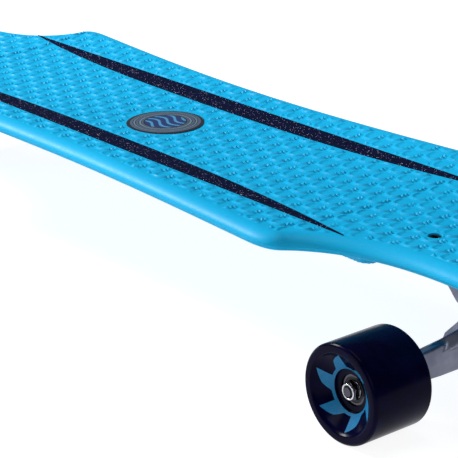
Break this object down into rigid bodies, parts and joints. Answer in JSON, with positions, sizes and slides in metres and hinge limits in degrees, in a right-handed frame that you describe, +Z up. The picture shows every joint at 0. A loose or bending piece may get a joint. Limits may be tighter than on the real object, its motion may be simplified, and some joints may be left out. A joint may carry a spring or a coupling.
{
  "type": "longboard skateboard",
  "caption": "Concave blue plastic longboard with wheel cut-aways, grip stripes, round badge, sprung reverse-kingpin trucks and free-rolling dark wheels.",
  "frame": {"origin": "on the ground under the middle of the board, at the bottom centre of the box round the object", "axes": "+X along the board towards the front, +Y to the left, +Z up"},
  "size_m": [0.914, 0.258, 0.1202],
  "materials": {
    "blue_plastic": "light blue moulded plastic, raised fish-scale texture on top, satin rim",
    "grip": "dark navy sparkling grip tape",
    "badge": "clear domed gel badge over a grey and blue ring print",
    "urethane": "very dark navy glossy urethane with a light blue printed sunburst",
    "cast_metal": "polished grey-blue cast aluminium",
    "steel": "bright plated steel",
    "black_steel": "black oxide steel",
    "bushing": "dark urethane",
    "nylon": "black nylon"
  },
  "bodies": {
    "board": {"deck": "blue_plastic", "grip_stripe_left": "grip", "grip_stripe_right": "grip", "badge": "badge", "baseplate_front": "cast_metal", "pivot_cup_front": "nylon", "kingpin_front": "steel", "kingpin_nut_front": "steel", "bushing_board_front": "bushing", "bushing_road_front": "bushing", "washer_board_front": "steel", "washer_road_front": "steel", "deck_bolt_front_1": "black_steel", "deck_nut_front_1": "steel", "deck_bolt_front_2": "black_steel", "deck_nut_front_2": "steel", "deck_bolt_front_3": "black_steel", "deck_nut_front_3": "steel", "deck_bolt_front_4": "black_steel", "deck_nut_front_4": "steel", "baseplate_rear": "cast_metal", "pivot_cup_rear": "nylon", "kingpin_rear": "steel", "kingpin_nut_rear": "steel", "bushing_board_rear": "bushing", "bushing_road_rear": "bushing", "washer_board_rear": "steel", "washer_road_rear": "steel", "deck_bolt_rear_1": "black_steel", "deck_nut_rear_1": "steel", "deck_bolt_rear_2": "black_steel", "deck_nut_rear_2": "steel", "deck_bolt_rear_3": "black_steel", "deck_nut_rear_3": "steel", "deck_bolt_rear_4": "black_steel", "deck_nut_rear_4": "steel"},
    "truck_front": {"hanger_front": "cast_metal", "axle_front": "steel", "bearing_spacer_front_left": "steel", "axle_nut_front_left": "steel", "bearing_spacer_front_right": "steel", "axle_nut_front_right": "steel"},
    "truck_rear": {"hanger_rear": "cast_metal", "axle_rear": "steel", "bearing_spacer_rear_left": "steel", "axle_nut_rear_left": "steel", "bearing_spacer_rear_right": "steel", "axle_nut_rear_right": "steel"},
    "wheel_body_front_left": {"wheel_front_left": "urethane", "bearing_races_front_left": "steel"},
    "wheel_body_front_right": {"wheel_front_right": "urethane", "bearing_races_front_right": "steel"},
    "wheel_body_rear_left": {"wheel_rear_left": "urethane", "bearing_races_rear_left": "steel"},
    "wheel_body_rear_right": {"wheel_rear_right": "urethane", "bearing_races_rear_right": "steel"}
  },
  "joints": [
    {"name": "steer_front", "type": "hinge", "parent": "board", "child": "truck_front", "pos_m": [0.35048, 0, 0.03712], "axis": [0.7071, 0, 0.7071], "range_deg": [-20, 20], "stiffness_Nm_per_rad": 40, "deforming": ["bushing_board_front", "bushing_road_front"]},
    {"name": "wheel_spin_front_left", "type": "hinge", "parent": "truck_front", "child": "wheel_body_front_left", "pos_m": [0.3526, 0.1035, 0.035], "axis": [0, 1, 0], "continuous": true},
    {"name": "wheel_spin_front_right", "type": "hinge", "parent": "truck_front", "child": "wheel_body_front_right", "pos_m": [0.3526, -0.1035, 0.035], "axis": [0, 1, 0], "continuous": true},
    {"name": "steer_rear", "type": "hinge", "parent": "board", "child": "truck_rear", "pos_m": [-0.35048, 0, 0.03712], "axis": [0.7071, 0, -0.7071], "range_deg": [-20, 20], "stiffness_Nm_per_rad": 40, "deforming": ["bushing_board_rear", "bushing_road_rear"]},
    {"name": "wheel_spin_rear_left", "type": "hinge", "parent": "truck_rear", "child": "wheel_body_rear_left", "pos_m": [-0.3526, 0.1035, 0.035], "axis": [0, 1, 0], "continuous": true},
    {"name": "wheel_spin_rear_right", "type": "hinge", "parent": "truck_rear", "child": "wheel_body_rear_right", "pos_m": [-0.3526, -0.1035, 0.035], "axis": [0, 1, 0], "continuous": true}
  ]
}
